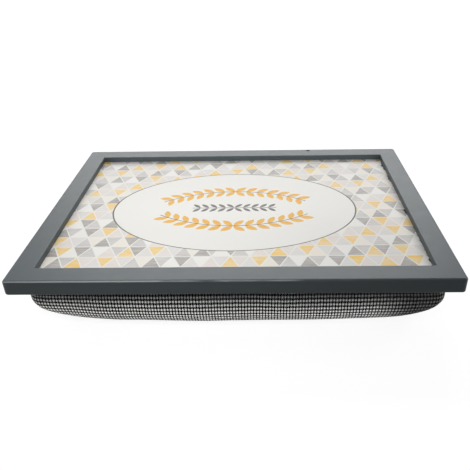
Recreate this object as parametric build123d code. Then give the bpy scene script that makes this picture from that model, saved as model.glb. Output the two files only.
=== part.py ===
from build123d import *
import math
import os

# Lap tray with a bead cushion. A mitred, rebated frame holds a printed tray board from below,
# and a second board, wrapped in the cushion's cloth, closes the rebate and carries the cushion.
# Millimetres. X runs along the tray, Y from front to back, Z up. The origin is on the surface
# that the cushion stands on, under the middle of the tray.

# Frame: driving sizes
tray_length = 440.0
tray_width = 330.0
rail_width = 24.0
lip_height = 7.0
rebate_width = 9.0
rebate_rim = 0.7
frame_corner_radius = 4.0
top_edge_radius = 2.3
bottom_edge_radius = 1.8
sight_edge_radius = 1.2

# Cushion: driving sizes
cushion_depth = 56.0
cover_thickness = 0.8
cover_fit = 0.2
cover_flange = 15.0
cover_corner_radius = 6.0
crown_cut = 0.5
layer_gap = 0.35
bag_thickness = 0.5

# Boards and print
print_thickness = 0.3
tray_board_thickness = 3.0
tray_board_fit = 0.5
cushion_board_thickness = 2.5

# Fasteners
fastener_clearance = 0.05
v_nail_leg = 5.0
v_nail_thickness = 0.6
v_nail_height = 10.0
v_nail_sink = 0.4
v_nail_spacing = 5.0
v_nails_per_corner = 2
point_thickness = 0.5
point_width = 6.0
point_hold = 6.0
point_bite = 5.0
point_tip = 3.0
points_per_long_side = 4
points_per_short_side = 3
staple_crown = 10.0
staple_wire = 0.7
staple_wire_height = 0.5
staple_leg_cover = 0.7
staple_inset = 9.0
staple_headroom = 0.2
staples_per_long_side = 8
staples_per_short_side = 5

# One overrun for every cut that runs past a face
overrun = 1.0

# The cushion's horizontal sections, from the frame's underside down to just above the ground.
# All four are shares of the cushion's depth: how far below the frame the section lies, how far
# the middle of a side stands outside the cover's top edge, how much rounder the corners are than
# there, and how far the side's middle stands outside its corners.
section_shares = (
    (0.000, 0.000, 0.00, 0.000),
    (0.150, 0.042, 0.01, 0.035),
    (0.310, 0.070, 0.04, 0.050),
    (0.470, 0.078, 0.11, 0.060),
    (0.630, 0.056, 0.30, 0.066),
    (0.760, 0.000, 0.57, 0.070),
    (0.870, -0.096, 0.84, 0.074),
    (0.940, -0.210, 1.00, 0.080),
    (0.985, -0.340, 1.08, 0.086),
)
# The last section lies below the ground by the crown's cut: swell, corner and bow as above
crown_shares = (-0.454, 1.10, 0.090)

# Heights, from the ground up: the rebate is as deep as all that it holds, and a rim below it
frame_bottom = cushion_depth
cushion_point_bottom = frame_bottom + rebate_rim
cushion_board_bottom = cushion_point_bottom + point_thickness
cushion_board_top = cushion_board_bottom + cushion_board_thickness
flange_top = cushion_board_top + cover_thickness
tray_point_bottom = flange_top + staple_wire_height + staple_headroom
tray_board_bottom = tray_point_bottom + point_thickness
print_bottom = tray_board_bottom + tray_board_thickness
lip_bottom = print_bottom + print_thickness
frame_top = lip_bottom + lip_height
rail_height = frame_top - frame_bottom
bag_top = cushion_point_bottom - layer_gap

# Plan sizes
sight_length = tray_length - 2 * rail_width
sight_width = tray_width - 2 * rail_width
land_width = rail_width - rebate_width
rebate_length = tray_length - 2 * land_width
rebate_breadth = tray_width - 2 * land_width
cover_length = rebate_length - 2 * cover_fit
cover_breadth = rebate_breadth - 2 * cover_fit
cushion_board_length = cover_length - 2 * cover_thickness
cushion_board_breadth = cover_breadth - 2 * cover_thickness
cushion_board_radius = cover_corner_radius - cover_thickness
staple_leg = cushion_board_thickness - staple_leg_cover


def block(length, breadth, low, high):
    """A block centred on the tray, between two heights."""
    return Pos(0, 0, low) * Box(length, breadth, high - low, align=(Align.CENTER, Align.CENTER, Align.MIN))


def edges_at(shape, height, length, breadth):
    """The edges of a shape at one height that lie within a rectangle's outline of this size."""
    near = overrun / 10
    found = []
    for edge in shape.edges():
        box = edge.bounding_box()
        if abs(box.min.Z - height) > near or abs(box.max.Z - height) > near:
            continue
        if box.max.X > length / 2 + near or box.max.Y > breadth / 2 + near:
            continue
        found.append(edge)
    return found


# Frame

def frame_ring():
    """The whole moulding as one ring, before it is mitred."""
    outline = RectangleRounded(tray_length, tray_width, frame_corner_radius)
    ring = extrude(Plane.XY.offset(frame_bottom) * outline, rail_height)
    ring = fillet(edges_at(ring, frame_top, tray_length, tray_width), top_edge_radius)
    ring = fillet(edges_at(ring, frame_bottom, tray_length, tray_width), bottom_edge_radius)
    ring -= block(sight_length, sight_width, frame_bottom - overrun, frame_top + overrun)
    ring = fillet(edges_at(ring, frame_top, sight_length, sight_width), sight_edge_radius)
    ring -= block(rebate_length, rebate_breadth, frame_bottom - overrun, lip_bottom)
    return ring


def mitre_wedge(side_length, depth_to_side):
    """The space of the front rail or, turned, of any other: it ends in two 45 degree mitres."""
    reach = rail_width + overrun
    outer = side_length / 2 + overrun
    inner = side_length / 2 - reach
    points = [
        (-outer, -depth_to_side - overrun),
        (outer, -depth_to_side - overrun),
        (inner, -depth_to_side + reach),
        (-inner, -depth_to_side + reach),
    ]
    outline = Plane.XY.offset(frame_bottom - overrun) * make_face(Polyline(*points, close=True))
    return extrude(outline, rail_height + 2 * overrun)


# Fasteners

def v_nail(inset, clearance):
    """One V nail whose bend is this far in from the corner X = 0, Y = 0 of the frame."""
    thickness = v_nail_thickness + 2 * clearance
    length = v_nail_leg + 2 * clearance
    low = frame_bottom + v_nail_sink
    # A pocket runs out through the frame's underside, where the nail is driven in.
    bottom = frame_bottom - overrun if clearance else low
    height = low + v_nail_height + clearance - bottom
    start = Pos(inset - clearance, inset - clearance, bottom)
    along_x = start * Box(length, thickness, height, align=Align.MIN)
    along_y = start * Box(thickness, length, height, align=Align.MIN)
    return along_x + along_y


def v_nails(clearance):
    """The V nails across the four mitres, centred in the wood beside the rebate."""
    nails = []
    row_length = v_nail_leg + (v_nails_per_corner - 1) * v_nail_spacing
    for index in range(v_nails_per_corner):
        inset = (land_width - row_length) / 2 + index * v_nail_spacing
        nail = Pos(-tray_length / 2, -tray_width / 2) * v_nail(inset, clearance)
        left_pair = [nail, mirror(nail, Plane.XZ)]
        nails += left_pair + [mirror(one, Plane.YZ) for one in left_pair]
    return nails


def framer_point(low, clearance):
    """One flat point in the wall Y = 0, with its tip driven towards -Y and its tail towards +Y."""
    half = point_width / 2 + clearance
    points = [
        (-half, point_hold + clearance),
        (half, point_hold + clearance),
        (half, -point_bite + point_tip - clearance),
        (0, -point_bite - clearance),
        (-half, -point_bite + point_tip - clearance),
    ]
    outline = Plane.XY.offset(low - clearance) * make_face(Polyline(*points, close=True))
    return extrude(outline, point_thickness + 2 * clearance)


def along_sides(piece, length, breadth, on_long_side, on_short_side):
    """Copies of a piece made at the wall Y = 0, spread evenly along the four sides of a rectangle."""
    copies = []
    for count, side, reach, turn in (
        (on_long_side, length, breadth, 0),
        (on_short_side, breadth, length, 90),
    ):
        for index in range(count):
            along = side * ((index + 0.5) / count - 0.5)
            for flip in (0, 180):
                copies.append(Rot(0, 0, turn + flip) * Pos(along, -reach / 2, 0) * piece)
    return copies


def framer_points(low, clearance):
    """The points all round the rebate, at one height."""
    piece = framer_point(low, clearance)
    return along_sides(piece, rebate_length, rebate_breadth, points_per_long_side, points_per_short_side)


def staple(clearance):
    """One staple, at the cushion board's edge Y = 0, with its crown on the cover's flange."""
    width = staple_wire + 2 * clearance
    length = staple_crown + 2 * clearance
    crown_height = staple_wire_height + (overrun if clearance else 0)
    crown = Pos(0, staple_inset, flange_top) * Box(
        length, width, crown_height, align=(Align.CENTER, Align.CENTER, Align.MIN)
    )
    reach = cover_thickness + staple_leg + clearance
    leg = Pos(0, staple_inset, flange_top) * Box(
        width, width, reach, align=(Align.CENTER, Align.CENTER, Align.MAX)
    )
    shift = (staple_crown - staple_wire) / 2
    return crown + Pos(-shift, 0, 0) * leg + Pos(shift, 0, 0) * leg


def staples(clearance):
    """The staples all round the cushion board."""
    return along_sides(
        staple(clearance),
        cushion_board_length,
        cushion_board_breadth,
        staples_per_long_side,
        staples_per_short_side,
    )


# Cushion

def bowed_rectangle(half_x, half_y, radius, bow, height):
    """A level face with round corners and bowed sides that run into them without a kink."""
    centre_x = half_x - radius - bow
    centre_y = half_y - radius - bow
    # Each side's arc leans over by this much where it runs into the corner's arc.
    start_angle = 2 * math.atan2(bow, centre_y)
    end_angle = math.pi / 2 - 2 * math.atan2(bow, centre_x)
    corner = [
        (centre_x + radius * math.cos(angle), centre_y + radius * math.sin(angle))
        for angle in (start_angle, (start_angle + end_angle) / 2, end_angle)
    ]
    corners = []
    for sign_x, sign_y in ((1, 1), (-1, 1), (-1, -1), (1, -1)):
        placed = [(sign_x * x, sign_y * y, height) for x, y in corner]
        corners.append(placed if sign_x == sign_y else placed[::-1])
    middles = ((0, half_y, height), (-half_x, 0, height), (0, -half_y, height), (half_x, 0, height))
    edges = []
    for index, (start, middle, end) in enumerate(corners):
        following = corners[(index + 1) % len(corners)][0]
        edges.append(ThreePointArc(start, middle, end))
        edges.append(ThreePointArc(end, middles[index], following) if bow else Line(end, following))
    return make_face(Curve() + edges)


def cushion_rows():
    """Drop, swell, extra corner radius and bow of every section, in real sizes."""
    rows = [[share * cushion_depth for share in shares] for shares in section_shares]
    crown = [share * cushion_depth for share in crown_shares]
    rows.append([cushion_depth + crown_cut] + crown)
    return rows


def cushion_body(inward, top):
    """The cushion's outer form, or the form that lies this far inside it, up to a height.

    It is flat below, where the cushion stands."""
    rows = cushion_rows()
    faces = []
    for index, (drop, swell, rounding, bow) in enumerate(rows):
        before = rows[max(index - 1, 0)]
        after = rows[min(index + 1, len(rows) - 1)]
        fall = after[0] - before[0]
        shrink = before[1] - after[1]
        slope = math.hypot(fall, shrink)
        # The first section stays at the frame's underside, where the cloth's walls turn upright.
        lift = inward * shrink / slope if index else 0
        sideways = inward * fall / slope if index else inward
        face = bowed_rectangle(
            cover_length / 2 + swell - sideways,
            cover_breadth / 2 + swell - sideways,
            cover_corner_radius + rounding - sideways,
            bow,
            frame_bottom - drop + lift,
        )
        faces.append(face)
    body = loft(faces) + extrude(faces[0], flange_top + overrun - frame_bottom)
    return body & block(tray_length, tray_width, inward, top)


def cushion_board_blank():
    """The cushion board before its staples are driven in."""
    outline = Plane.XY.offset(cushion_board_bottom) * RectangleRounded(
        cushion_board_length, cushion_board_breadth, cushion_board_radius
    )
    return extrude(outline, cushion_board_thickness)


def cushion_cloth():
    """The cover: its bag, its walls in the rebate and the flange turned in over the board."""
    outer = cushion_body(0, flange_top)
    inner = cushion_body(cover_thickness, cushion_board_bottom)
    opening = block(
        cushion_board_length - 2 * cover_flange,
        cushion_board_breadth - 2 * cover_flange,
        cushion_board_top,
        flange_top + overrun,
    )
    return outer - inner - cushion_board_blank() - opening


def build():
    nodes = {}

    # Frame: four rails cut from one ring by the mitre planes, with pockets for their fasteners
    ring = frame_ring()
    pockets = v_nails(fastener_clearance)
    pockets += framer_points(tray_point_bottom, fastener_clearance)
    pockets += framer_points(cushion_point_bottom, fastener_clearance)
    for pocket in pockets:
        ring -= pocket
    long_wedge = mitre_wedge(tray_length, tray_width / 2)
    short_wedge = mitre_wedge(tray_width, tray_length / 2)
    nodes["frame_rail_front"] = ring & long_wedge
    nodes["frame_rail_back"] = ring & (Rot(0, 0, 180) * long_wedge)
    nodes["frame_rail_right"] = ring & (Rot(0, 0, 90) * short_wedge)
    nodes["frame_rail_left"] = ring & (Rot(0, 0, -90) * short_wedge)
    nodes["corner_v_nails"] = v_nails(0)

    # Tray board and its print, held up against the lip by points
    board_length = rebate_length - 2 * tray_board_fit
    board_breadth = rebate_breadth - 2 * tray_board_fit
    nodes["printed_laminate"] = block(board_length, board_breadth, print_bottom, lip_bottom)
    nodes["tray_board"] = block(board_length, board_breadth, tray_board_bottom, print_bottom)
    nodes["tray_board_points"] = framer_points(tray_point_bottom, 0)

    # Cushion board with the cover stapled over it, held in the rebate by a second row of points
    board = cushion_board_blank()
    cover = cushion_cloth()
    for hole in staples(fastener_clearance):
        board -= hole
        cover -= hole
    for slot in framer_points(cushion_point_bottom, fastener_clearance):
        cover -= slot
    nodes["cushion_board"] = board
    nodes["cushion_cover"] = cover
    nodes["cover_staples"] = staples(0)
    nodes["cushion_points"] = framer_points(cushion_point_bottom, 0)

    # Inner bag and its beads
    bag_outside = cover_thickness + layer_gap
    bag_inside = bag_outside + bag_thickness
    bag_ceiling = bag_top - bag_thickness
    nodes["bead_bag"] = cushion_body(bag_outside, bag_top) - cushion_body(bag_inside, bag_ceiling)
    nodes["bead_filling"] = cushion_body(bag_inside + layer_gap, bag_ceiling - layer_gap)
    return nodes


def main():
    os.makedirs("parts", exist_ok=True)
    for name, shape in build().items():
        if isinstance(shape, list):
            shape = Compound(children=shape)
        shape.label = name
        export_step(shape, f"parts/{name}.step")


main()
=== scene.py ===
import math

import bmesh
import bpy
from mathutils import Matrix, Vector, noise


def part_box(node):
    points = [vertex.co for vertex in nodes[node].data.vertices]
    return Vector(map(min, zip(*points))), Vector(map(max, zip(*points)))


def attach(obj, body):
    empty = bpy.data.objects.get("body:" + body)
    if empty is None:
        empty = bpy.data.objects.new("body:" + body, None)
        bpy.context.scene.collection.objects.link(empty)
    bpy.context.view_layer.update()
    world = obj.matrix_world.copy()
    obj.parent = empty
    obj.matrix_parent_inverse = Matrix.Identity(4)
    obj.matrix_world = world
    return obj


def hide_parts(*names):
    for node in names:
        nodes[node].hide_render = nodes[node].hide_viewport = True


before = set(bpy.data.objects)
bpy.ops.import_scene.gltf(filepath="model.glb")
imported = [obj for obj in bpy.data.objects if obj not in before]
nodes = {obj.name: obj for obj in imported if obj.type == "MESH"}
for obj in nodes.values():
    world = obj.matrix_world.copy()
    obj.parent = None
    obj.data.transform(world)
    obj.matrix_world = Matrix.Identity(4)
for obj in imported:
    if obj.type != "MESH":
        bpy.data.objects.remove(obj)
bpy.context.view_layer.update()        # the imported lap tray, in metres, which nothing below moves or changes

mm = 0.001
tiny = 1e-9      # less than any length or share that counts
railNames = ["frame_rail_front", "frame_rail_back", "frame_rail_left", "frame_rail_right"]
boardNames = ["tray_board", "cushion_board"]
fastenerNames = ["corner_v_nails", "tray_board_points", "cushion_points", "cover_staples"]
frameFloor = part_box("frame_rail_front")[0].z    # underside of the frame
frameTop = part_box("frame_rail_front")[1].z
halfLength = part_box("frame_rail_right")[1].x
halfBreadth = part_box("frame_rail_back")[1].y


# Small tools

def linear(hexColour):
    # sRGB hex to the linear colour that the shaders take
    values = [int(hexColour[place:place + 2], 16) / 255 for place in (1, 3, 5)]
    return [v / 12.92 if v <= 0.04045 else ((v + 0.055) / 1.055) ** 2.4 for v in values] + [1]


def addNode(tree, kind, settings=None, inputs=None):
    # A node given as an input stands for its first output.
    # Sockets that share a name go by number: a Mix node takes its share at 0, two numbers at 2 and 3
    # or two colours at 6 and 7, and gives the mixed colour at output 2.
    node = tree.nodes.new(kind)
    for name, value in (settings or {}).items():
        setattr(node, name, value)
    for socket, value in (inputs or {}).items():
        if isinstance(value, bpy.types.Node):
            value = value.outputs[0]
        if isinstance(value, bpy.types.NodeSocket):
            tree.links.new(value, node.inputs[socket])
        else:
            node.inputs[socket].default_value = value
    return node


def newMaterial(name, shaderInputs):
    material = bpy.data.materials.new(name)
    material.use_nodes = True
    tree = material.node_tree
    tree.nodes.clear()
    shader = addNode(tree, "ShaderNodeBsdfPrincipled", None, shaderInputs)
    addNode(tree, "ShaderNodeOutputMaterial", None, {"Surface": shader})
    return material, tree, shader


def fillRamp(ramp, stops, interpolation):
    ramp.color_ramp.interpolation = interpolation
    elements = ramp.color_ramp.elements
    while len(elements) < len(stops):
        elements.new(1)
    for element, (place, colour) in zip(elements, stops):
        element.position = place
        element.color = linear(colour)


def layColours(tree, below, layers):
    # Lays each colour over what is below it, as far as its share says
    for share, colour in layers:
        layer = addNode(
            tree, "ShaderNodeMix", {"data_type": "RGBA"}, {0: share, 6: below, 7: linear(colour)},
        )
        below = layer.outputs[2]
    return below


def dress(nodeNames, material):
    for name in nodeNames:
        mesh = nodes[name].data
        mesh.materials.clear()
        mesh.materials.append(material)


def deselectAll():
    for thing in bpy.context.selected_objects:
        thing.select_set(False)


def makeActive(thing):
    deselectAll()
    thing.select_set(True)
    bpy.context.view_layer.objects.active = thing


def smoothStep(low, high, value):
    share = min(max((value - low) / (high - low), 0), 1)
    return share * share * (3 - 2 * share)


# Camera and light

photoCamera = {
    "place": (0.02622, -0.58237, 0.36575),
    "downAngle": 30.35,
    "turnAngle": 1.30,
    "rollAngle": -1.11,
    "lens": 41.66,
    "sensorWidth": 36,
    "shift": -0.0319,
}


def setCamera(look):
    data = bpy.data.cameras.new("photo_camera")
    data.lens = look["lens"]
    data.sensor_width = look["sensorWidth"]
    data.shift_x = look["shift"]
    eye = bpy.data.objects.new("photo_camera", data)
    bpy.context.scene.collection.objects.link(eye)
    turn = Matrix.Rotation(math.radians(look["turnAngle"]), 4, "Z")
    tip = Matrix.Rotation(math.radians(90 - look["downAngle"]), 4, "X")
    roll = Matrix.Rotation(math.radians(look["rollAngle"]), 4, "Z")
    eye.matrix_world = Matrix.Translation(look["place"]) @ turn @ tip @ roll
    bpy.context.scene.camera = eye
    print("camera set")


studio = {
    "skyStrength": 0.06,      # what the room gives every surface
    "floorColour": "#7C7C7C",   # what the floor throws back on the tray
    "floorGlow": (0.92, 1.0),      # near and far: brings the floor to white, with the shadow kept
    "glowReach": (0.35, 1.3),      # how far out the glow starts to rise, and where it is whole
    "floorSize": 8,
    "floorGap": 0.3 * mm,      # keeps the floor clear of the cloth that lies on it
    "lamps": {
        # place, point it looks at, size, watts, spread in degrees
        "back_softbox": ((0.0, 2.2, 1.52), (0, 0, 0.06), (2.4, 1.35), 49, 180),
        "front_key": ((-0.18, -0.58, 0.64), (-0.07, -0.04, 0.05), (0.25, 0.20), 0.19, 45),
        # Two fills light the ends, and the print a little
        "left_fill": ((-1.2, 0.15, 0.80), (-0.2, 0.05, 0.04), (0.6, 0.4), 2.5, 180),
        "right_fill": ((1.2, 0.15, 0.85), (0.2, 0.05, 0.04), (0.6, 0.4), 5, 180),
        # A card above the front rail lights the back rail's inner face across the print
        "inside_card": ((0.0, -0.150, 0.081), (0.0, 0.141, 0.067), (0.38, 0.008), 0.017, 12),
        # A white card on the table, close in front, throws light up at the cloth
        "table_card": ((-0.045, -0.205, 0.004), (-0.045, -0.150, 0.018), (0.40, 0.010), 0.026, 54),
    },
    "shinelessLamps": ["inside_card"],      # its light grazes the print, where its shine would glare
}


def pathIsSeen(tree):
    # 1 for a ray from the camera, a mirror or through glass, which all see the white studio
    path = addNode(tree, "ShaderNodeLightPath")
    either = addNode(
        tree, "ShaderNodeMath", {"operation": "MAXIMUM"},
        {0: path.outputs["Is Camera Ray"], 1: path.outputs["Is Glossy Ray"]},
    )
    return addNode(
        tree, "ShaderNodeMath", {"operation": "MAXIMUM"},
        {0: either, 1: path.outputs["Is Transmission Ray"]},
    )


def setStudio(look):
    world = bpy.data.worlds.new("white_studio")
    world.use_nodes = True
    tree = world.node_tree
    tree.nodes.clear()
    strength = addNode(
        tree, "ShaderNodeMapRange", None,
        {"Value": pathIsSeen(tree), "To Min": look["skyStrength"], "To Max": 1},
    )
    sky = addNode(tree, "ShaderNodeBackground", None, {"Color": (1, 1, 1, 1), "Strength": strength})
    addNode(tree, "ShaderNodeOutputWorld", None, {"Surface": sky})
    bpy.context.scene.world = world

    deselectAll()
    bpy.ops.mesh.primitive_plane_add(size=look["floorSize"], location=(0, 0, -look["floorGap"]))
    floor = bpy.context.active_object
    floor.name = "studio_floor"
    # White painted board: matt, and seen as white while its shadow stays
    material, tree, shader = newMaterial("matt_white_board", {"Roughness": 1, "Specular IOR Level": 0})
    shader.inputs["Base Color"].default_value = linear(look["floorColour"])
    shader.inputs["Emission Color"].default_value = (1, 1, 1, 1)
    place = addNode(tree, "ShaderNodeTexCoord").outputs["Object"]
    reach = addNode(tree, "ShaderNodeVectorMath", {"operation": "LENGTH"}, {0: place})
    near, far = look["glowReach"]
    nearGlow, farGlow = look["floorGlow"]
    whiteness = addNode(
        tree, "ShaderNodeMapRange", {"interpolation_type": "SMOOTHSTEP"},
        {"Value": reach.outputs["Value"], "From Min": near, "From Max": far,
         "To Min": nearGlow, "To Max": farGlow},
    )
    glow = addNode(
        tree, "ShaderNodeMath", {"operation": "MULTIPLY"}, {0: pathIsSeen(tree), 1: whiteness},
    )
    tree.links.new(glow.outputs[0], shader.inputs["Emission Strength"])
    floor.data.materials.append(material)

    for name, (place, target, size, watts, spread) in look["lamps"].items():
        data = bpy.data.lights.new(name, "AREA")
        data.shape = "RECTANGLE"
        data.size, data.size_y = size
        data.energy = watts
        data.spread = math.radians(spread)
        lamp = bpy.data.objects.new(name, data)
        bpy.context.scene.collection.objects.link(lamp)
        lamp.location = place
        lamp.visible_camera = False
        lamp.visible_glossy = name not in look["shinelessLamps"]
        aim = Vector(target) - Vector(place)
        lamp.rotation_euler = aim.to_track_quat("-Z", "Y").to_euler()
    print("studio set")


# Frame: wood moulding under sprayed paint.
# A noise scale is a number of waves to the metre, or to the millimetre on the cloth.

framePaint = {
    "paint": "#50585B",
    "paintDark": "#4B5356",
    "cloudScale": 22,      # the tone drifts over about 45 mm
    "shine": 0.22,      # none in the chip
    "roughness": (0.36, 0.46),
    "hazeScale": 120,      # the roughness drifts over about 8 mm
    "dimpleScale": 650,      # spray mist dries in dimples about 1.5 mm apart
    "dimpleStrength": 0.25,
    "dimpleDepth": 0.05 * mm,
    # The outer top edge is pale along part of its round: partly rubbed paint, partly a painted highlight
    "wearAndHighlight": "#C2C7C8",
    "edgeRound": 2.3 * mm,
    "paleEdgeBand": (0.8 * mm, 1.4 * mm),      # past the start of the round: where the pale edge starts, and where it is whole
    "paleEdgeScale": 14,      # pale lengths come about 70 mm apart
    "paleEdgeLevels": (0.50, 0.72),      # noise at which the pale edge starts, and where it is whole
    "paleEdgeMost": 0.8,
    # Painted highlight, stronger towards the left: shares of the half length where this is whole, and where it
    # ends
    "highlightPart": (-0.65, 0.1),
    "highlightMore": 0.3,      # added to that noise
    "nick": (0.0958, 0.1600, 0.0023),      # x, y and radius of a chip in the back rail's top
    "nickColour": "#2B2C2C",
}


def makeFramePaint(look):
    # Satin lacquer sprayed on wood: even and soft in its shine, pale along the sharp outer edge from rubbed
    # paint and a painted highlight
    material, tree, shader = newMaterial("satin_sprayed_lacquer", {"IOR": 1.5})
    place = addNode(tree, "ShaderNodeTexCoord").outputs["Object"]
    cloud = addNode(
        tree, "ShaderNodeTexNoise", None, {"Vector": place, "Scale": look["cloudScale"], "Detail": 4},
    )
    tone = addNode(
        tree, "ShaderNodeMix", {"data_type": "RGBA"},
        {0: cloud.outputs["Fac"], 6: linear(look["paintDark"]), 7: linear(look["paint"])},
    )
    # How far a point lies past the start of the edge's round, outwards and upwards
    edgeRound = look["edgeRound"]
    size = addNode(tree, "ShaderNodeVectorMath", {"operation": "ABSOLUTE"}, {0: place})
    past = addNode(
        tree, "ShaderNodeVectorMath", {"operation": "SUBTRACT"},
        {0: size, 1: (halfLength - edgeRound, halfBreadth - edgeRound, frameTop - edgeRound)},
    )
    parts = addNode(tree, "ShaderNodeSeparateXYZ", None, {0: past})
    outwards = addNode(
        tree, "ShaderNodeMath", {"operation": "MAXIMUM"}, {0: parts.outputs["X"], 1: parts.outputs["Y"]},
    )
    onEdge = addNode(
        tree, "ShaderNodeMath", {"operation": "MINIMUM"}, {0: outwards, 1: parts.outputs["Z"]},
    )
    firstPale, fullPale = look["paleEdgeBand"]
    edgeShare = addNode(
        tree, "ShaderNodeMapRange", {"interpolation_type": "SMOOTHSTEP"},
        {"Value": onEdge, "From Min": firstPale, "From Max": fullPale},
    )
    paleNoise = addNode(
        tree, "ShaderNodeTexNoise", None, {"Vector": place, "Scale": look["paleEdgeScale"], "Detail": 2},
    )
    # Painted highlight along the edge: the pale share grows towards the left
    placeParts = addNode(tree, "ShaderNodeSeparateXYZ", None, {0: place})
    wholeTo, endsAt = look["highlightPart"]
    leftHighlight = addNode(
        tree, "ShaderNodeMapRange", {"interpolation_type": "SMOOTHSTEP"},
        {"Value": placeParts.outputs["X"], "From Min": halfLength * wholeTo,
         "From Max": halfLength * endsAt, "To Min": look["highlightMore"], "To Max": 0},
    )
    paleLevel = addNode(tree, "ShaderNodeMath", {"operation": "ADD"}, {0: paleNoise.outputs["Fac"], 1: leftHighlight})
    startLevel, wholeLevel = look["paleEdgeLevels"]
    paleShare = addNode(
        tree, "ShaderNodeMapRange", {"interpolation_type": "SMOOTHSTEP"},
        {"Value": paleLevel, "From Min": startLevel, "From Max": wholeLevel, "To Max": look["paleEdgeMost"]},
    )
    wornAndLit = addNode(tree, "ShaderNodeMath", {"operation": "MULTIPLY"}, {0: edgeShare, 1: paleShare})
    # The chip's rim is ragged, and its floor is bare and dull
    haze = addNode(
        tree, "ShaderNodeTexNoise", None, {"Vector": place, "Scale": look["hazeScale"], "Detail": 3},
    )
    nickX, nickY, nickRadius = look["nick"]
    toNick = addNode(
        tree, "ShaderNodeVectorMath", {"operation": "DISTANCE"}, {0: place, 1: (nickX, nickY, frameTop)},
    )
    ragged = addNode(
        tree, "ShaderNodeMath", {"operation": "MULTIPLY"}, {0: haze, 1: 2 * nickRadius},
    )
    nick = addNode(
        tree, "ShaderNodeMath", {"operation": "LESS_THAN"}, {0: toNick.outputs["Value"], 1: ragged},
    )
    painted = layColours(tree, tone.outputs[2], [(wornAndLit, look["wearAndHighlight"]), (nick, look["nickColour"])])
    tree.links.new(painted, shader.inputs["Base Color"])
    shine = addNode(
        tree, "ShaderNodeMapRange", None, {"Value": nick, "To Min": look["shine"], "To Max": 0},
    )
    tree.links.new(shine.outputs[0], shader.inputs["Specular IOR Level"])
    leastRough, mostRough = look["roughness"]
    gloss = addNode(
        tree, "ShaderNodeMapRange", None,
        {"Value": haze.outputs["Fac"], "To Min": leastRough, "To Max": mostRough},
    )
    tree.links.new(gloss.outputs[0], shader.inputs["Roughness"])
    dimples = addNode(
        tree, "ShaderNodeTexNoise", None, {"Vector": place, "Scale": look["dimpleScale"], "Detail": 2},
    )
    bump = addNode(
        tree, "ShaderNodeBump", None,
        {"Height": dimples.outputs["Fac"], "Strength": look["dimpleStrength"],
         "Distance": look["dimpleDepth"]},
    )
    tree.links.new(bump.outputs[0], shader.inputs["Normal"])
    return material


# Print under its clear facing

trayPrint = {
    "rowHeight": 20.2 * mm,
    "trianglePitch": 19.8 * mm,
    "rowStart": -131.8 * mm,
    "columnStart": -173.2 * mm,
    "whiteLine": 1.3 * mm,
    # Each ink with its share of the triangles
    "palette": [
        ("#F2C54E", 0.16), ("#C5C1BE", 0.16), ("#DDD9D5", 0.19), ("#968F8A", 0.16),
        ("#E3D8D1", 0.12), ("#EEE6D8", 0.11), ("#F0EEE9", 0.10),
    ],
    # How far through the palette the ink moves on: along a row, up a row, to the cell's other half
    "inkSteps": (0.381, 0.243, 0.65),
    "inkScatter": 0.08,
    "paper": "#EDECE7",
    # The wash runs out to paper in level brush strokes, about 14 mm long and 2 mm high
    "strokeScale": (70, 420, 1),
    "washLevels": (0.35, 0.7),      # noise at which the paper starts to show, and where it shows most
    "washMost": 0.30,
    "washFade": 0.30,      # how much more paper shows at a triangle's thin side
    "ovalCentre": (-5.0 * mm, -4.0 * mm),
    "ovalHalf": (144.1 * mm, 97.3 * mm),
    "outline": 1.4 * mm,
    "outlineColour": "#57524E",
    # Leafy sprigs in the oval: bend of the stem, its middle's height, half its run, then the leaves
    "sprigs": [
        {"bend": 150 * mm, "rise": 44 * mm, "halfRun": 92 * mm, "pitch": 13.2 * mm, "length": 17 * mm,
         "width": 7.5 * mm, "offset": 6.3 * mm, "colour": "#EBB347"},
        {"bend": 20000 * mm, "rise": 0, "halfRun": 50 * mm, "pitch": 10 * mm, "length": 12.5 * mm,
         "width": 4.6 * mm, "offset": 5.2 * mm, "colour": "#6B6664"},
    ],
    "stem": 1.1 * mm,
    "stemColour": "#5A5654",
    "sightHalf": (196 * mm, 141 * mm),      # half of what the frame leaves in sight
    # Dark flecks along that edge
    "fleckColour": "#35291F",
    "fleckScale": 130,      # about 8 mm apart
    "fleckReach": 15 * mm,      # how far in they come, times the noise above the fleck-free level
    "fleckFreeLevels": (0.66, 0.52),      # at the left, and at the right, where most flecks are
    "fleckFreeMore": 1.5 * mm,      # flecks reach this much less far in at the front and the back
    # The facing's press plate leaves a fine even tooth, about 0.6 mm
    "toothScale": 1600,
    "toothStrength": 0.15,
    "toothDepth": 0.03 * mm,
}


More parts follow.
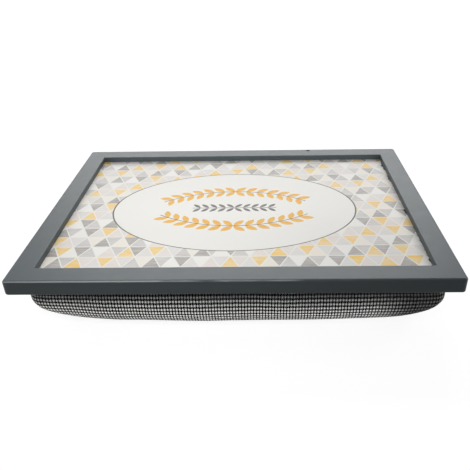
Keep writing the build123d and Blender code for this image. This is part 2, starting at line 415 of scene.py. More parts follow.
def makePrint(look):
    # Printed paper under melamine: crisp flat inks with a brushed wash, below an even satin shine
    material, tree, shader = newMaterial(
        "melamine_faced_print", {"Roughness": 0.38, "IOR": 1.5, "Specular IOR Level": 0.1},
    )
    place = addNode(tree, "ShaderNodeTexCoord").outputs["Object"]
    parts = addNode(tree, "ShaderNodeSeparateXYZ", None, {0: place})
    # up counts the rows, and the two slants count columns that lean half a pitch to the row
    rowHeight, pitch = look["rowHeight"], look["trianglePitch"]
    up = addNode(
        tree, "ShaderNodeMath", {"operation": "MULTIPLY_ADD"},
        {0: parts.outputs["Y"], 1: 1 / rowHeight, 2: -look["rowStart"] / rowHeight},
    )
    along = addNode(
        tree, "ShaderNodeMath", {"operation": "MULTIPLY_ADD"},
        {0: parts.outputs["X"], 1: 1 / pitch, 2: -look["columnStart"] / pitch},
    )
    slanted = addNode(
        tree, "ShaderNodeMath", {"operation": "MULTIPLY_ADD"}, {0: up, 1: -0.5, 2: along},
    )
    otherSlant = addNode(tree, "ShaderNodeMath", {"operation": "ADD"}, {0: slanted, 1: up})
    upShare = addNode(tree, "ShaderNodeMath", {"operation": "FRACT"}, {0: up})
    slantShare = addNode(tree, "ShaderNodeMath", {"operation": "FRACT"}, {0: slanted})
    shareSum = addNode(tree, "ShaderNodeMath", {"operation": "ADD"}, {0: upShare, 1: slantShare})
    pointsDown = addNode(tree, "ShaderNodeMath", {"operation": "GREATER_THAN"}, {0: shareSum, 1: 1})
    column = addNode(tree, "ShaderNodeMath", {"operation": "FLOOR"}, {0: slanted})
    row = addNode(tree, "ShaderNodeMath", {"operation": "FLOOR"}, {0: up})
    cell = addNode(tree, "ShaderNodeCombineXYZ", None, {0: column, 1: row, 2: pointsDown})
    # Each ink comes back at even distances, scattered a little, so that no two patches of it meet
    pick = addNode(tree, "ShaderNodeTexWhiteNoise", {"noise_dimensions": "3D"}, {"Vector": cell})
    steps = addNode(
        tree, "ShaderNodeVectorMath", {"operation": "DOT_PRODUCT"}, {0: cell, 1: look["inkSteps"]},
    )
    scattered = addNode(
        tree, "ShaderNodeMath", {"operation": "MULTIPLY_ADD"},
        {0: pick.outputs["Value"], 1: look["inkScatter"], 2: steps.outputs["Value"]},
    )
    ink = addNode(tree, "ShaderNodeMath", {"operation": "FRACT"}, {0: scattered})
    ramp = addNode(tree, "ShaderNodeValToRGB", None, {0: ink})
    stops = []
    reached = 0
    for colour, share in look["palette"]:
        stops.append((reached, colour))
        reached += share
    fillRamp(ramp, stops, "CONSTANT")
    strokes = addNode(
        tree, "ShaderNodeMapping", None, {"Vector": place, "Scale": look["strokeScale"]},
    )
    wash = addNode(tree, "ShaderNodeTexNoise", None, {"Vector": strokes, "Scale": 1, "Detail": 4})
    startLevel, mostLevel = look["washLevels"]
    washBase = addNode(
        tree, "ShaderNodeMapRange", None,
        {"Value": wash.outputs["Fac"], "From Min": startLevel, "From Max": mostLevel,
         "To Max": look["washMost"]},
    )
    # Each triangle's wash thins towards its upper or its lower side
    downShare = addNode(tree, "ShaderNodeMath", {"operation": "SUBTRACT"}, {0: 1, 1: upShare})
    pickParts = addNode(tree, "ShaderNodeSeparateColor", None, {0: pick.outputs["Color"]})
    fade = addNode(
        tree, "ShaderNodeMix", {"data_type": "FLOAT"},
        {0: pickParts.outputs["Green"], 2: upShare, 3: downShare},
    )
    washShare = addNode(
        tree, "ShaderNodeMath", {"operation": "MULTIPLY_ADD"}, {0: fade, 1: look["washFade"], 2: washBase},
    )
    # White gaps between the triangles, where the nearest of the three rulings is close
    slantWidth = pitch * rowHeight / math.hypot(rowHeight, pitch / 2)
    gaps = []
    for lattice, width in ((up, rowHeight), (slanted, slantWidth), (otherSlant, slantWidth)):
        fold = addNode(tree, "ShaderNodeMath", {"operation": "PINGPONG"}, {0: lattice, 1: 0.5})
        gaps.append(addNode(tree, "ShaderNodeMath", {"operation": "MULTIPLY"}, {0: fold, 1: width}))
    nearest = addNode(tree, "ShaderNodeMath", {"operation": "MINIMUM"}, {0: gaps[0], 1: gaps[1]})
    nearest = addNode(tree, "ShaderNodeMath", {"operation": "MINIMUM"}, {0: nearest, 1: gaps[2]})
    onGap = addNode(
        tree, "ShaderNodeMath", {"operation": "LESS_THAN"}, {0: nearest, 1: look["whiteLine"] / 2},
    )
    # Oval panel with its thin outline
    (centreX, centreY), (ovalX, ovalY) = look["ovalCentre"], look["ovalHalf"]
    ovalPlace = addNode(
        tree, "ShaderNodeVectorMath", {"operation": "MULTIPLY_ADD"},
        {0: place, 1: (1 / ovalX, 1 / ovalY, 0), 2: (-centreX / ovalX, -centreY / ovalY, 0)},
    )
    reach = addNode(tree, "ShaderNodeVectorMath", {"operation": "LENGTH"}, {0: ovalPlace})
    inOval = addNode(
        tree, "ShaderNodeMath", {"operation": "LESS_THAN"}, {0: reach.outputs["Value"], 1: 1},
    )
    onOutline = addNode(
        tree, "ShaderNodeMath", {"operation": "COMPARE"},
        {0: reach.outputs["Value"], 1: 1, 2: look["outline"] / (ovalX + ovalY)},
    )
    paper = look["paper"]
    inked = layColours(
        tree, ramp.outputs["Color"],
        [(washShare, paper), (onGap, paper), (inOval, paper), (onOutline, look["outlineColour"])],
    )
    for sprig in look["sprigs"]:
        inked = addSprig(tree, place, inked, sprig, look)
    flecked = addFlecks(tree, place, parts, inked, look)
    tree.links.new(flecked, shader.inputs["Base Color"])
    tooth = addNode(
        tree, "ShaderNodeTexNoise", None, {"Vector": place, "Scale": look["toothScale"], "Detail": 2},
    )
    bump = addNode(
        tree, "ShaderNodeBump", None,
        {"Height": tooth.outputs["Fac"], "Strength": look["toothStrength"], "Distance": look["toothDepth"]},
    )
    tree.links.new(bump.outputs[0], shader.inputs["Normal"])
    return material


def addSprig(tree, place, below, sprig, look):
    # A stem bent along an arc with paired leaves that point away from its middle, mirrored front to back
    centreX, centreY = look["ovalCentre"]
    bend = sprig["bend"]
    pitch = sprig["pitch"]
    centred = addNode(
        tree, "ShaderNodeVectorMath", {"operation": "SUBTRACT"}, {0: place, 1: (centreX, centreY, 0)},
    )
    mirrored = addNode(tree, "ShaderNodeVectorMath", {"operation": "ABSOLUTE"}, {0: centred})
    level = addNode(
        tree, "ShaderNodeVectorMath", {"operation": "MULTIPLY_ADD"},
        {0: mirrored, 1: (1, 1, 0), 2: (0, bend - sprig["rise"], 0)},
    )
    levelParts = addNode(tree, "ShaderNodeSeparateXYZ", None, {0: level})
    reach = addNode(tree, "ShaderNodeVectorMath", {"operation": "LENGTH"}, {0: level})
    outwards = addNode(
        tree, "ShaderNodeMath", {"operation": "SUBTRACT"}, {0: reach.outputs["Value"], 1: bend},
    )
    angle = addNode(
        tree, "ShaderNodeMath", {"operation": "ARCTAN2"},
        {0: levelParts.outputs["X"], 1: levelParts.outputs["Y"]},
    )
    run = addNode(tree, "ShaderNodeMath", {"operation": "MULTIPLY"}, {0: angle, 1: bend})
    within = addNode(
        tree, "ShaderNodeMath", {"operation": "LESS_THAN"}, {0: run, 1: sprig["halfRun"]},
    )
    leafCount = addNode(tree, "ShaderNodeMath", {"operation": "MULTIPLY"}, {0: run, 1: 1 / pitch})
    leafShare = addNode(tree, "ShaderNodeMath", {"operation": "FRACT"}, {0: leafCount})
    along = addNode(
        tree, "ShaderNodeMath", {"operation": "MULTIPLY_ADD"}, {0: leafShare, 1: pitch, 2: -pitch / 2},
    )
    fromStem = addNode(tree, "ShaderNodeMath", {"operation": "ABSOLUTE"}, {0: outwards})
    fromLeaf = addNode(
        tree, "ShaderNodeMath", {"operation": "SUBTRACT"}, {0: fromStem, 1: sprig["offset"]},
    )
    lean = math.sqrt(0.5)      # leaves lean 45 degrees off the stem
    ahead = addNode(tree, "ShaderNodeMath", {"operation": "ADD"}, {0: fromLeaf, 1: along})
    lengthwise = addNode(
        tree, "ShaderNodeMath", {"operation": "MULTIPLY"}, {0: ahead, 1: lean / (sprig["length"] / 2)},
    )
    aside = addNode(tree, "ShaderNodeMath", {"operation": "SUBTRACT"}, {0: fromLeaf, 1: along})
    asideSize = addNode(tree, "ShaderNodeMath", {"operation": "ABSOLUTE"}, {0: aside})
    across = addNode(
        tree, "ShaderNodeMath", {"operation": "MULTIPLY"}, {0: asideSize, 1: lean / (sprig["width"] / 2)},
    )
    # Pointed at both ends: the width falls with the square of the way to the tip
    square = addNode(
        tree, "ShaderNodeMath", {"operation": "MULTIPLY"}, {0: lengthwise, 1: lengthwise},
    )
    total = addNode(tree, "ShaderNodeMath", {"operation": "ADD"}, {0: across, 1: square})
    onLeaf = addNode(tree, "ShaderNodeMath", {"operation": "LESS_THAN"}, {0: total, 1: 1})
    leaf = addNode(tree, "ShaderNodeMath", {"operation": "MULTIPLY"}, {0: onLeaf, 1: within})
    onStem = addNode(
        tree, "ShaderNodeMath", {"operation": "LESS_THAN"}, {0: fromStem, 1: look["stem"] / 2},
    )
    stem = addNode(tree, "ShaderNodeMath", {"operation": "MULTIPLY"}, {0: onStem, 1: within})
    return layColours(tree, below, [(leaf, sprig["colour"]), (stem, look["stemColour"])])


def addFlecks(tree, place, parts, below, look):
    # Dark flecks along the edge that the frame leaves in sight, most of them on the right
    sightX, sightY = look["sightHalf"]
    size = addNode(tree, "ShaderNodeVectorMath", {"operation": "ABSOLUTE"}, {0: place})
    left = addNode(
        tree, "ShaderNodeVectorMath", {"operation": "SUBTRACT"}, {0: (sightX, sightY, 0), 1: size},
    )
    leftParts = addNode(tree, "ShaderNodeSeparateXYZ", None, {0: left})
    fromLongEdge = addNode(
        tree, "ShaderNodeMath", {"operation": "ADD"}, {0: leftParts.outputs["Y"], 1: look["fleckFreeMore"]},
    )
    fromEdge = addNode(
        tree, "ShaderNodeMath", {"operation": "MINIMUM"}, {0: leftParts.outputs["X"], 1: fromLongEdge},
    )
    blots = addNode(
        tree, "ShaderNodeTexNoise", None, {"Vector": place, "Scale": look["fleckScale"], "Detail": 4},
    )
    fleckFreeLeft, fleckFreeRight = look["fleckFreeLevels"]
    side = addNode(
        tree, "ShaderNodeMapRange", None,
        {"Value": parts.outputs["X"], "From Min": -sightX, "From Max": sightX,
         "To Min": -fleckFreeLeft, "To Max": -fleckFreeRight},
    )
    dark = addNode(tree, "ShaderNodeMath", {"operation": "ADD"}, {0: blots.outputs["Fac"], 1: side})
    reach = addNode(tree, "ShaderNodeMath", {"operation": "MULTIPLY"}, {0: dark, 1: look["fleckReach"]})
    fleck = addNode(tree, "ShaderNodeMath", {"operation": "LESS_THAN"}, {0: fromEdge, 1: reach})
    return layColours(tree, below, [(fleck, look["fleckColour"])])


# Boards and fasteners inside the frame

hardboard = {
    "fibreScale": 900,      # fibres about 1 mm long
    "swirl": 1.5,
    "tones": [(0.35, "#5E4128"), (0.55, "#8B6641"), (0.75, "#A67F55")],
    "roughness": 0.62,
    "reliefStrength": 0.4,
    "reliefDepth": 0.1 * mm,
}


def makeHardboard(look):
    # Hardboard: pressed wood fibre, warm brown and matt with short dark fibres
    material, tree, shader = newMaterial("tempered_hardboard", {"Roughness": look["roughness"]})
    place = addNode(tree, "ShaderNodeTexCoord").outputs["Object"]
    fibres = addNode(
        tree, "ShaderNodeTexNoise", None,
        {"Vector": place, "Scale": look["fibreScale"], "Detail": 6, "Distortion": look["swirl"]},
    )
    ramp = addNode(tree, "ShaderNodeValToRGB", None, {0: fibres.outputs["Fac"]})
    fillRamp(ramp, look["tones"], "LINEAR")
    tree.links.new(ramp.outputs["Color"], shader.inputs["Base Color"])
    bump = addNode(
        tree, "ShaderNodeBump", None,
        {"Height": fibres.outputs["Fac"], "Strength": look["reliefStrength"],
         "Distance": look["reliefDepth"]},
    )
    tree.links.new(bump.outputs[0], shader.inputs["Normal"])
    return material


zincPlate = {
    "lineScale": (5000, 5000, 400),      # drawn lines about 0.2 mm apart, which run up and down
    "tones": [(0.3, "#A3A7AA"), (0.7, "#C9CDCF")],
    "roughness": (0.25, 0.45),
}


def makeSteel(look):
    # Bright zinc-plated steel: cool grey metal with fine drawn lines
    material, tree, shader = newMaterial("zinc_plated_steel", {"Metallic": 1})
    place = addNode(tree, "ShaderNodeTexCoord").outputs["Object"]
    drawn = addNode(tree, "ShaderNodeMapping", None, {"Vector": place, "Scale": look["lineScale"]})
    lines = addNode(tree, "ShaderNodeTexNoise", None, {"Vector": drawn, "Scale": 1, "Detail": 2})
    ramp = addNode(tree, "ShaderNodeValToRGB", None, {0: lines.outputs["Fac"]})
    fillRamp(ramp, look["tones"], "LINEAR")
    tree.links.new(ramp.outputs["Color"], shader.inputs["Base Color"])
    leastRough, mostRough = look["roughness"]
    gloss = addNode(
        tree, "ShaderNodeMapRange", None,
        {"Value": lines.outputs["Fac"], "To Min": leastRough, "To Max": mostRough},
    )
    tree.links.new(gloss.outputs[0], shader.inputs["Roughness"])
    return material


# Cushion

cushion = {
    "cells": (82, 60),      # cells along and across the bag's underside
    "rowCount": 15,      # rows of cells from the underside up to the frame
    "rimInset": 15.2 * mm,      # from the frame's outside to the bag's rim
    "rimRadius": 6 * mm,
    # Shares of the bag's depth: how far down, how far out, extra corner radius, bow of the sides
    "sectionShares": [
        (0.000, 0.000, 0.00, 0.000), (0.150, 0.042, 0.01, 0.035), (0.310, 0.070, 0.04, 0.050),
        (0.470, 0.078, 0.11, 0.060), (0.630, 0.056, 0.30, 0.066), (0.760, 0.000, 0.57, 0.070),
        (0.870, -0.096, 0.84, 0.074), (0.940, -0.210, 1.00, 0.080), (0.985, -0.340, 1.08, 0.086),
        (1.000, -0.440, 1.10, 0.090),
    ],
    "sectionSteps": 12,      # points on the section's curve from each of these to the next
    "restShare": 0.93,      # how much of the underside the floor holds
    "startInset": 2.5 * mm,      # the bag starts this much smaller and swells in the simulation
    "insetRows": 4,      # rows below the rim over which that sets in
    "leastRadius": 1 * mm,
    "clothSettings": {
        "quality": 6, "mass": 0.15, "tension_stiffness": 12, "compression_stiffness": 8,
        "shear_stiffness": 4, "bending_stiffness": 2, "shrink_min": 0,
    },
    "pressure": 4,
    "frameCount": 20,
    "mostMove": 6 * mm,      # no point of the cloth may go further
    "ironingRounds": 6,
    "ironingStrength": 0.5,
    "slack": 0.6 * mm,      # soft hollows between the beads
    "hollowScales": ((14, 1), (37, 0.5)),      # hollows about 70 and 27 mm apart, and their shares
    "stillRows": 3,      # rows below the rim over which the hollows set in
    "seamDepth": 1.2 * mm,
    # The beads have slid to the right and the front, so the cloth stands out further there
    "fullerRight": 5.6 * mm,
    "fullerLeft": 2.6 * mm,
    "fullerFront": 4.3 * mm,
    "fullerCorner": 2 * mm,      # the darts keep the corners square below the frame
    # Where the fullness starts and where it is whole, above the floor and below the frame
    "endAboveFloor": (4 * mm, 32 * mm),
    "endBelowFrame": (0, 14 * mm),
    "cornerAboveFloor": (15 * mm, 40 * mm),
    "lowBelowFrame": (0, 40 * mm),      # at the front and at the corners
    # The same, in from the frame's outside
    "fromEnds": (110 * mm, 20 * mm),
    "fromFront": (70 * mm, 25 * mm),
    "fromCorner": (60 * mm, 15 * mm),
    "frontFromLeft": (20 * mm, 100 * mm),
    "frontFromRight": (-30 * mm, 60 * mm),
    "clothThickness": 0.8 * mm,
    "flange": 15 * mm,
    "flangeTop": 4.5 * mm,      # above the frame's underside
    "fill": 0.8,
}


def sidePoint(halfAlong, halfOut, radius, bow, share):
    # A point on one bowed side of a round-cornered outline, from its middle (0) to a corner's middle (1)
    centreAlong = halfAlong - radius - bow
    centreOut = halfOut - radius - bow
    startLean = 2 * math.atan2(bow, centreAlong)
    endLean = (startLean + math.pi / 2 - 2 * math.atan2(bow, centreOut)) / 2
    chord = centreAlong + radius * math.sin(startLean)
    rise = halfOut - centreOut - radius * math.cos(startLean)
    bigRadius = (chord * chord + rise * rise) / (2 * rise) if rise > tiny else None
    sideRun = bigRadius * math.asin(chord / bigRadius) if bigRadius else chord
    cornerRun = radius * (endLean - startLean)
    run = abs(share) * (sideRun + cornerRun)
    if run > sideRun:
        angle = startLean + (run - sideRun) / radius
        along = centreAlong + radius * math.sin(angle)
        out = centreOut + radius * math.cos(angle)
    elif bigRadius:
        along = bigRadius * math.sin(run / bigRadius)
        out = halfOut - bigRadius * (1 - math.cos(run / bigRadius))
    else:
        along = run
        out = halfOut
    return math.copysign(along, share), out, math.copysign(run, share)


def bagRows(look):
    # Rows of even height along the bag's side, from the floor to the rim: height, swell, radius, bow, climb
    depth = frameFloor
    knots = [
        Vector((-drop * depth, swell * depth, look["rimRadius"] + extra * depth, bow * depth))
        for drop, swell, extra, bow in reversed(look["sectionShares"])
    ]
    # A smooth curve through the knots
    curve = []
    for index in range(len(knots) - 1):
        before = knots[max(index - 1, 0)]
        start, end = knots[index], knots[index + 1]
        after = knots[min(index + 2, len(knots) - 1)]
        for step in range(look["sectionSteps"]):
            t = step / look["sectionSteps"]
            curve.append(0.5 * (
                2 * start + (end - before) * t + (2 * before - 5 * start + 4 * end - after) * t ** 2
                + (3 * start - before - 3 * end + after) * t ** 3
            ))
    curve.append(knots[-1])
    runs = [0]
    for one, other in zip(curve, curve[1:]):
        runs.append(runs[-1] + math.hypot(other[0] - one[0], other[1] - one[1]))
    rows = []
    for row in range(look["rowCount"] + 1):
        wanted = runs[-1] * row / look["rowCount"]
        index = max(i for i in range(len(curve)) if runs[i] <= wanted + tiny)
        index = min(index, len(curve) - 2)
        share = (wanted - runs[index]) / (runs[index + 1] - runs[index])
        height, swell, radius, bow = curve[index].lerp(curve[index + 1], share)
        rows.append((depth + height, swell, radius, bow, wanted))
    return rows


def bagPoint(look, rows, a, b, row):
    # a and b run from -1 to 1 over the underside, and the rows climb from its rim.
    # Gives the point's place, and how far it lies along the cloth and up it.
    height, swell, radius, bow, climb = rows[row]
    inset = look["startInset"] * smoothStep(0, look["insetRows"], look["rowCount"] - row)
    halfX = halfLength - look["rimInset"] + swell - inset
    halfY = halfBreadth - look["rimInset"] + swell - inset
    radius = max(radius - inset, look["leastRadius"])
    reach = max(abs(a), abs(b), tiny)
    if abs(a) > abs(b):
        along, out, run = sidePoint(halfY, halfX, radius, bow, b / reach)
        place = Vector((math.copysign(out, a), along, 0)) * reach
    else:
        along, out, run = sidePoint(halfX, halfY, radius, bow, a / reach)
        place = Vector((along, math.copysign(out, b), 0)) * reach
    place.z = height
    return place, run, climb


def undersideHalf(look, rows, frameHalf):
    # Half the underside's size along or across, where the upright rows start
    return frameHalf - look["rimInset"] + rows[0][1] - look["startInset"]


def selectRim(piece):
    # Selects an open mesh's free edges, in edit mode
    bpy.ops.mesh.select_all(action="DESELECT")
    form = bmesh.from_edit_mesh(piece.data)
    for edge in form.edges:
        if edge.is_boundary:
            edge.select_set(True)
    bmesh.update_edit_mesh(piece.data)


def makeBag(look):
    # The bag starts as a level grid, from -1 to 1 both ways, whose rim is drawn up row by row
    cellsX, cellsY = look["cells"]
    rowCount = look["rowCount"]
    deselectAll()
    bpy.ops.mesh.primitive_grid_add(x_subdivisions=cellsX, y_subdivisions=cellsY, size=2)
    bag = bpy.context.active_object
    bag.name = "gingham_cushion"
    bpy.ops.object.mode_set(mode="EDIT")
    for row in range(rowCount):
        selectRim(bag)
        bpy.ops.mesh.extrude_region_move(TRANSFORM_OT_translate={"value": (0, 0, 1)})
    # A lid closes the bag while it is blown up
    selectRim(bag)
    bpy.ops.mesh.edge_face_add()
    bpy.ops.mesh.select_all(action="SELECT")
    bpy.ops.mesh.normals_make_consistent(inside=False)
    bpy.ops.object.mode_set(mode="OBJECT")

    rows = bagRows(look)
    raw = [vertex.co.copy() for vertex in bag.data.vertices]
    placed = [bagPoint(look, rows, point.x, point.y, round(point.z)) for point in raw]
    threads = bag.data.uv_layers.new(name="threads")
    for face in bag.data.polygons:
        middle = sum((raw[index] for index in face.vertices), Vector()) / len(face.vertices)
        for corner in face.loop_indices:
            place, run, climb = placed[bag.data.loops[corner].vertex_index]
            # The underside is one panel, and each side is another, sewn on along the underside's edge
            if middle.z <= 0:
                threads.data[corner].uv = (place.x / mm, place.y / mm)
            elif abs(middle.x) > abs(middle.y):
                across = math.copysign(undersideHalf(look, rows, halfLength) + climb, middle.x)
                threads.data[corner].uv = (across / mm, run / mm)
            else:
                across = math.copysign(undersideHalf(look, rows, halfBreadth) + climb, middle.y)
                threads.data[corner].uv = (run / mm, across / mm)
    for vertex, (place, run, climb) in zip(bag.data.vertices, placed):
        vertex.co = place
    # The frame holds the rim, and the floor the underside, all but its outer part
    rim = [i for i, point in enumerate(raw) if round(point.z) == rowCount]
    resting = [
        i for i, point in enumerate(raw)
        if round(point.z) == 0 and max(abs(point.x), abs(point.y)) < look["restShare"]
    ]
    held = bag.vertex_groups.new(name="held")
    held.add(rim + resting, 1, "REPLACE")
    # The seams climb at the corners and end below the rim
    seam = [
        i for i, point in enumerate(raw)
        if 0 < round(point.z) < rowCount and math.isclose(abs(point.x), abs(point.y), rel_tol=1e-4)
    ]
    return bag, raw, seam


def simulateBag(bag, look):
    # Air pressure from inside, no gravity, the rim and the resting underside held
    start = [vertex.co.copy() for vertex in bag.data.vertices]
    makeActive(bag)
    cloth = bag.modifiers.new("bag_cloth", "CLOTH")
    for name, value in look["clothSettings"].items():
        setattr(cloth.settings, name, value)
    cloth.settings.use_pressure = True
    cloth.settings.uniform_pressure_force = look["pressure"]
    cloth.settings.effector_weights.gravity = 0
    cloth.settings.vertex_group_mass = "held"
    cloth.collision_settings.use_collision = False
    scene = bpy.context.scene
    for step in range(1, look["frameCount"] + 1):
        scene.frame_set(step)
    bpy.ops.object.modifier_apply(modifier=cloth.name)
    scene.frame_set(1)
    # Small buckles in the cloth are ironed out
    ironed = bag.modifiers.new("ironed", "SMOOTH")
    ironed.factor = look["ironingStrength"]
    ironed.iterations = look["ironingRounds"]
    ironed.vertex_group = "held"
    ironed.invert_vertex_group = True
    bpy.ops.object.modifier_apply(modifier=ironed.name)
    moves = []
    for vertex, old in zip(bag.data.vertices, start):
        move = vertex.co - old
        moves.append(move.length)
        if move.length > look["mostMove"]:
            move *= look["mostMove"] / move.length
        vertex.co = old + move
    largest = max(moves) / mm
    mean = sum(moves) / len(moves) / mm
    print(f"bag simulated: largest move {largest:.1f} mm, mean {mean:.1f} mm")


def setsIn(frameHalf, span, value):
    # From 0 to 1 over a span that is given inwards from the frame's outside
    start, whole = span
    return smoothStep(frameHalf - start, frameHalf - whole, value)


def addFullness(place, look):
    # Moves one point of the cloth out at the ends, the front and the corners
    underFrame = frameFloor - place.z
    low = smoothStep(*look["lowBelowFrame"], underFrame)
    fullerEnd = look["fullerRight"] if place.x > 0 else look["fullerLeft"]
    end = (
        fullerEnd * smoothStep(*look["endBelowFrame"], underFrame)
        * smoothStep(*look["endAboveFloor"], place.z)
        * setsIn(halfLength, look["fromEnds"], abs(place.x))
    )
    middle = (
        setsIn(halfLength, look["frontFromLeft"], -place.x)
        * setsIn(halfLength, look["frontFromRight"], place.x)
    )
    front = look["fullerFront"] * low * middle * setsIn(halfBreadth, look["fromFront"], -place.y)
    corner = look["fullerCorner"] * (
        setsIn(halfLength, look["fromCorner"], abs(place.x))
        * setsIn(halfBreadth, look["fromCorner"], abs(place.y))
        * low * smoothStep(*look["cornerAboveFloor"], place.z)
    )
    place.x += math.copysign(end + corner, place.x)
    place.y += math.copysign(corner, place.y)
    place.y -= front


def settleBag(bag, raw, seam, look):
    # Soft hollows between the beads, a drawn-in seam at each corner, and the floor under it all
    vertices = bag.data.vertices
    normals = [vertex.normal.copy() for vertex in vertices]
    for vertex, normal, point in zip(vertices, normals, raw):
        free = smoothStep(0, look["stillRows"], look["rowCount"] - point.z)
        wave = sum(share * noise.noise(vertex.co * scale) for scale, share in look["hollowScales"])
        vertex.co += normal * wave * look["slack"] * free
        addFullness(vertex.co, look)
    for index in seam:
        vertices[index].co -= normals[index] * look["seamDepth"]
    for vertex in vertices:
        vertex.co.z = max(vertex.co.z, 0)


def finishBag(bag, look):
    # The cloth runs up inside the frame and turns in over the lower board, where the staples hold it
    makeActive(bag)
    bpy.ops.object.mode_set(mode="EDIT")
    # The lid, the only face with more than four corners, comes off again
    bpy.ops.mesh.select_all(action="DESELECT")
    bpy.ops.mesh.select_face_by_sides(number=4, type="GREATER")
    bpy.ops.mesh.delete(type="ONLY_FACE")
    selectRim(bag)
    bpy.ops.mesh.extrude_region_move(TRANSFORM_OT_translate={"value": (0, 0, look["flangeTop"])})
    selectRim(bag)
    rimX = halfLength - look["rimInset"]
    rimY = halfBreadth - look["rimInset"]
    bpy.ops.mesh.extrude_region_move()
    bpy.ops.transform.resize(
        value=((rimX - look["flange"]) / rimX, (rimY - look["flange"]) / rimY, 1),
        center_override=(0, 0, 0),
    )
    bpy.ops.object.mode_set(mode="OBJECT")
    smooth = bag.modifiers.new("round_cloth", "SUBSURF")
    smooth.levels = smooth.render_levels = 1
    smooth.boundary_smooth = "PRESERVE_CORNERS"
    bpy.ops.object.modifier_apply(modifier=smooth.name)
    thick = bag.modifiers.new("cloth_thickness", "SOLIDIFY")
    thick.thickness = look["clothThickness"]
    thick.offset = -1
    bpy.ops.object.modifier_apply(modifier=thick.name)
    bpy.ops.object.shade_smooth()


gingham = {
    # Checks and drift are in millimetres on the cloth, as its thread map is
    "checkAlong": 3.0,      # from one dark stripe to the next
    "checkUp": 4.5,
    "start": (0, 2),      # where the first stripes begin
    "driftScale": 0.014,      # the hand-cut cloth lies a little off straight, over about 70 mm
    "drift": (1.5, 3.0),
    "threadsPerCheck": 9,      # in each direction
    "whiteThreads": (5, 4),      # of them, along and up
    # Where white crosses black, white floats over one crossing in seven, as in a satin weave
    "floatEvery": 7,
    "floatStep": 3,
    "white": "#F6F6F3",
    "black": "#0C0D0E",
    "threadTone": (0.88, 1.0),      # from the dullest thread to the brightest
    "reliefStrength": 0.5,
    "reliefDepth": 0.12 * mm,
}


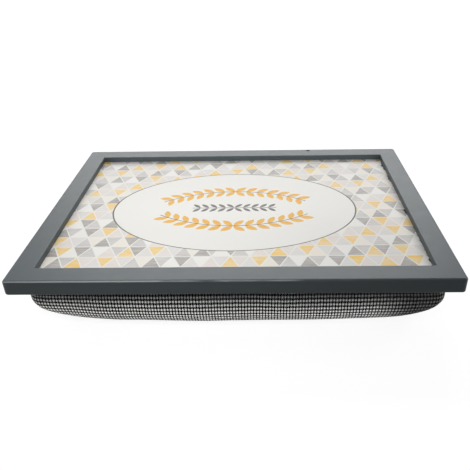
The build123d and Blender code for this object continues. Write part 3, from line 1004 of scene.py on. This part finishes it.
def makeGingham(look):
    # Yarn-dyed cotton: white, black and the grey where they cross, matt with a faint nap
    material, tree, shader = newMaterial(
        "yarn_dyed_cotton",
        {"Roughness": 0.85, "Specular IOR Level": 0.15, "Sheen Weight": 0.05, "Sheen Roughness": 0.5},
    )
    place = addNode(tree, "ShaderNodeUVMap", {"uv_map": "threads"})
    drift = addNode(
        tree, "ShaderNodeTexNoise", None, {"Vector": place, "Scale": look["driftScale"], "Detail": 1},
    )
    driftCentred = addNode(
        tree, "ShaderNodeVectorMath", {"operation": "SUBTRACT"},
        {0: drift.outputs["Color"], 1: (0.5, 0.5, 0.5)},
    )
    drifted = addNode(
        tree, "ShaderNodeVectorMath", {"operation": "MULTIPLY_ADD"},
        {0: driftCentred, 1: (*look["drift"], 0), 2: place},
    )
    started = addNode(
        tree, "ShaderNodeVectorMath", {"operation": "ADD"}, {0: drifted, 1: (*look["start"], 0)},
    )
    parts = addNode(tree, "ShaderNodeSeparateXYZ", None, {0: started})
    count = look["threadsPerCheck"]
    dullest, brightest = look["threadTone"]
    lights = []
    rounds = []
    numbers = []
    slubs = []
    for axis, period, whiteCount in zip(
        "XY", (look["checkAlong"], look["checkUp"]), look["whiteThreads"],
    ):
        checks = addNode(
            tree, "ShaderNodeMath", {"operation": "DIVIDE"}, {0: parts.outputs[axis], 1: period},
        )
        checkShare = addNode(tree, "ShaderNodeMath", {"operation": "FRACT"}, {0: checks})
        lights.append(addNode(
            tree, "ShaderNodeMath", {"operation": "GREATER_THAN"},
            {0: checkShare, 1: 1 - whiteCount / count},
        ))
        threads = addNode(tree, "ShaderNodeMath", {"operation": "MULTIPLY"}, {0: checks, 1: count})
        number = addNode(tree, "ShaderNodeMath", {"operation": "FLOOR"}, {0: threads})
        slub = addNode(tree, "ShaderNodeTexWhiteNoise", {"noise_dimensions": "1D"}, {"W": number})
        slubs.append(addNode(
            tree, "ShaderNodeMapRange", None,
            {"Value": slub.outputs["Value"], "To Min": dullest, "To Max": brightest},
        ))
        rounds.append(addNode(tree, "ShaderNodeMath", {"operation": "PINGPONG"}, {0: threads, 1: 0.5}))
        numbers.append(number)
    bothLight = addNode(tree, "ShaderNodeMath", {"operation": "MINIMUM"}, {0: lights[0], 1: lights[1]})
    oneLight = addNode(tree, "ShaderNodeMath", {"operation": "MAXIMUM"}, {0: lights[0], 1: lights[1]})
    total = addNode(tree, "ShaderNodeMath", {"operation": "ADD"}, {0: numbers[0], 1: numbers[1]})
    crossing = addNode(
        tree, "ShaderNodeMath", {"operation": "MULTIPLY_ADD"},
        {0: numbers[1], 1: look["floatStep"], 2: numbers[0]},
    )
    turn = addNode(
        tree, "ShaderNodeMath", {"operation": "FLOORED_MODULO"}, {0: crossing, 1: look["floatEvery"]},
    )
    lifted = addNode(tree, "ShaderNodeMath", {"operation": "LESS_THAN"}, {0: turn, 1: 0.5})
    white = addNode(
        tree, "ShaderNodeMix", {"data_type": "FLOAT"}, {0: lifted, 2: bothLight, 3: oneLight},
    )
    # The two directions lie on top by turns, in a plain weave's relief
    over = addNode(tree, "ShaderNodeMath", {"operation": "PINGPONG"}, {0: total, 1: 1})
    slubbed = addNode(tree, "ShaderNodeMix", {"data_type": "FLOAT"}, {0: over, 2: slubs[0], 3: slubs[1]})
    woven = addNode(
        tree, "ShaderNodeMix", {"data_type": "RGBA"},
        {0: white, 6: linear(look["black"]), 7: linear(look["white"])},
    )
    toned = addNode(
        tree, "ShaderNodeVectorMath", {"operation": "SCALE"}, {0: woven.outputs[2], "Scale": slubbed},
    )
    tree.links.new(toned.outputs[0], shader.inputs["Base Color"])
    relief = addNode(
        tree, "ShaderNodeMix", {"data_type": "FLOAT"}, {0: over, 2: rounds[0], 3: rounds[1]},
    )
    bump = addNode(
        tree, "ShaderNodeBump", None,
        {"Height": relief, "Strength": look["reliefStrength"], "Distance": look["reliefDepth"]},
    )
    tree.links.new(bump.outputs[0], shader.inputs["Normal"])
    return material


def makeCushion(look):
    bag, raw, seam = makeBag(look)
    simulateBag(bag, look)
    settleBag(bag, raw, seam, look)
    finishBag(bag, look)
    bag.data.materials.append(makeGingham(gingham))
    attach(bag, "root")
    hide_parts("cushion_cover", "bead_bag", "bead_filling")
    print(f"cushion made: {len(bag.data.polygons)} faces")


bpy.context.scene.view_settings.view_transform = "Standard"
setCamera(photoCamera)
setStudio(studio)
dress(railNames, makeFramePaint(framePaint))
dress(["printed_laminate"], makePrint(trayPrint))
dress(boardNames, makeHardboard(hardboard))
dress(fastenerNames, makeSteel(zincPlate))
print("frame, print, boards and fasteners dressed")
makeCushion(cushion)
